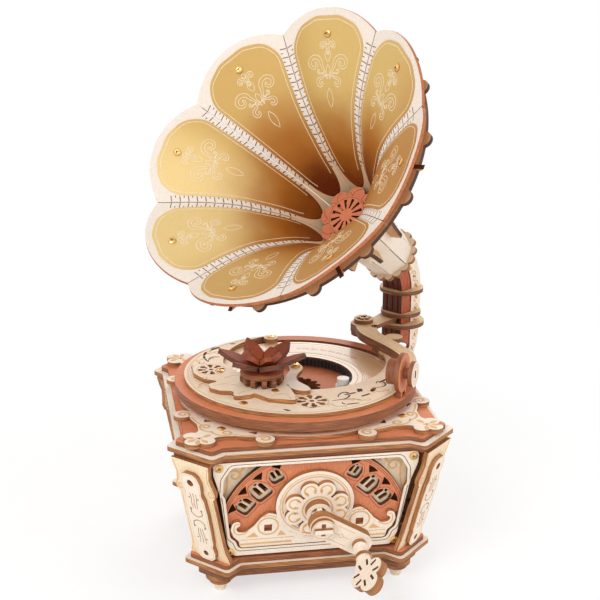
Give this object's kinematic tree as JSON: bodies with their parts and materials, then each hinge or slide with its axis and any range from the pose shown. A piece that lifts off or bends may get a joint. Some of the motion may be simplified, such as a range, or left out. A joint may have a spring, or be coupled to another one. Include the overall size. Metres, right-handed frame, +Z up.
{
  "type": "disc music box",
  "caption": "Hand cranked disc music box shaped like a small horn gramophone, built from laser cut plywood with a record, tone arm and petal horn.",
  "frame": {"origin": "under the middle of the whole outline, at table height", "axes": "+Z up, the crank faces -Y, +X to the right seen from the crank"},
  "size_m": [0.2108, 0.2506, 0.3596],
  "materials": {
    "white_wood": "printed",
    "tan_wood": "raw",
    "brown_wood": "stained",
    "dark_wood": "stained",
    "gold_veneer": "printed gold",
    "brass": "polished",
    "steel": "brushed",
    "white_plastic": "matte",
    "dark_plastic": "matte",
    "clear_plastic": "clear"
  },
  "bodies": {
    "base": {"feet": "brown_wood", "base_frames": "dark_wood", "base_white_plate": "white_wood", "base_top_plate": "brown_wood", "wall_frames": "tan_wood", "wall_lattices": "brown_wood", "wall_backings": "white_wood", "wall_scrolls": "white_wood", "wall_dials": "white_wood", "corner_posts": "tan_wood", "post_overlays": "white_wood", "top_brown_plates": "brown_wood", "top_white_plate": "white_wood", "deck_scroll_plate": "tan_wood", "deck_spacer": "dark_wood", "record_rings": "tan_wood", "glide_ring": "clear_plastic", "cover_crescent": "tan_wood", "cover_overlay": "brown_wood", "pressure_bar": "white_wood", "brass_screws": "brass", "lotus_hub": "dark_wood", "lotus_outer_petals": "dark_wood", "lotus_inner_petals": "dark_wood", "movement_plate": "brown_wood", "guide_ring": "brown_wood", "gear_posts": "steel", "comb": "steel", "crank_bushes": "tan_wood", "bearing_board": "tan_wood", "hook_plate": "white_wood", "tonearm_pin": "steel", "column_cheeks": "white_wood", "column_ribs": "dark_wood", "column_collars": "white_wood", "column_blocks": "tan_wood", "neck_staves": "white_wood", "neck_ring": "tan_wood", "horn_throat": "brown_wood", "horn_back_ring": "tan_wood", "horn_ribs": "brown_wood", "horn_petals": "white_wood", "gold_panels": "gold_veneer"},
    "record": {"record_disc": "brown_wood", "record_ring_gear": "dark_plastic"},
    "spindle": {"spindle_sleeve": "steel", "crown_wheel": "tan_wood"},
    "drive": {"drive_gear": "tan_wood", "drive_pinion": "white_plastic"},
    "stars": {"star_wheels": "brass"},
    "crank": {"crank_shaft": "tan_wood", "crank_pinion": "tan_wood", "crank_arm": "white_wood", "handle_pin": "steel"},
    "handle": {"handle_grip": "tan_wood", "handle_knob": "tan_wood"},
    "tonearm": {"tonearm": "brown_wood", "tonearm_knob": "tan_wood", "sound_box": "tan_wood"}
  },
  "joints": [
    {"name": "crank_turn", "type": "hinge", "parent": "base", "child": "crank", "pos_m": [-0.00863, -0.06424, 0.06238], "axis": [0, -0.9833, -0.1822], "continuous": true},
    {"name": "handle_spin", "type": "hinge", "parent": "crank", "child": "handle", "pos_m": [0.01517, -0.09094, 0.04177], "axis": [0, -0.9833, -0.1822], "continuous": true},
    {"name": "spindle_turn", "type": "hinge", "parent": "base", "child": "spindle", "pos_m": [-0.00963, 0.0118, 0.09], "axis": [0, 0, 1], "continuous": true},
    {"name": "drive_turn", "type": "hinge", "parent": "base", "child": "drive", "pos_m": [0.01994, -0.00353, 0.1], "axis": [0, 0, 1], "continuous": true},
    {"name": "record_turn", "type": "hinge", "parent": "base", "child": "record", "pos_m": [-0.00963, 0.0118, 0.12], "axis": [0, 0, 1], "continuous": true},
    {"name": "stars_turn", "type": "hinge", "parent": "base", "child": "stars", "pos_m": [-0.06363, 0.0118, 0.1162], "axis": [1, 0, 0], "continuous": true},
    {"name": "tonearm_swing", "type": "hinge", "parent": "base", "child": "tonearm", "pos_m": [0.05137, 0.0748, 0.133], "axis": [0, 0, 1], "range_deg": [0, 30]}
  ],
  "couplings": [
    {"joint": "spindle_turn", "follows": "crank_turn", "ratio": -0.33333},
    {"joint": "drive_turn", "follows": "crank_turn", "ratio": 0.33333},
    {"joint": "record_turn", "follows": "crank_turn", "ratio": 0.039683}
  ]
}
